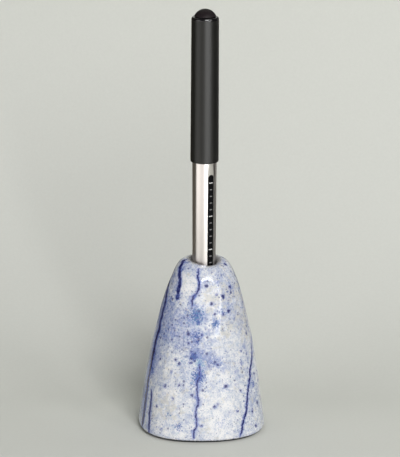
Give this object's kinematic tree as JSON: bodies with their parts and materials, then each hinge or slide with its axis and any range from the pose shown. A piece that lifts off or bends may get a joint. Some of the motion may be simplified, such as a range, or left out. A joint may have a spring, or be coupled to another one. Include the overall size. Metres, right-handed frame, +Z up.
{
  "type": "pen holder",
  "caption": "Desk pen holder: a glazed ceramic body with a blind socket, and the capped pen that stands in it. The pen lifts out and its cap pulls off.",
  "frame": {"origin": "middle of the foot pad's underside, on the socket's axis, where the holder rests on the desk", "axes": "+Z up along the socket and the pen, -Y towards the pictured front, +X to the viewer's right"},
  "size_m": [0.0567, 0.0577, 0.1867],
  "materials": {
    "glazed_ceramic": "glossy glaze, whitish with blue runs and specks",
    "pad_felt": "dark felt",
    "barrel_aluminium": "satin anodised",
    "strip_plastic": "satin black with white marks",
    "plug_plastic": "satin",
    "bush_brass": "turned",
    "grip_plastic": "satin",
    "nose_chrome": "polished",
    "refill_metal": "drawn",
    "refill_plug_plastic": "natural",
    "tip_brass": "turned",
    "spring_steel": "drawn wire",
    "cap_lacquer": "matt black lacquer",
    "clutch_steel": "sprung strip",
    "inner_cap_plastic": "satin",
    "finial_gloss": "glossy",
    "screw_steel": "turned"
  },
  "bodies": {
    "holder": {"ceramic_body": "glazed_ceramic", "base_pad": "pad_felt"},
    "pen": {"barrel_tube": "barrel_aluminium", "scale_strip": "strip_plastic", "barrel_end_plug": "plug_plastic", "thread_bush": "bush_brass", "section_grip": "grip_plastic", "nose_cone": "nose_chrome", "refill_tube": "refill_metal", "refill_plug": "refill_plug_plastic", "refill_tip": "tip_brass", "refill_spring": "spring_steel"},
    "cap": {"cap_sleeve": "cap_lacquer", "clutch_ring": "clutch_steel", "inner_cap": "inner_cap_plastic", "finial_dome": "finial_gloss", "finial_screw": "screw_steel"}
  },
  "joints": [
    {"name": "pen_lift", "type": "slide", "parent": "holder", "child": "pen", "axis": [0, 0, 1], "range_m": [0, 0.032]},
    {"name": "cap_pull", "type": "slide", "parent": "pen", "child": "cap", "axis": [0, 0, 1], "range_m": [0, 0.045]}
  ]
}
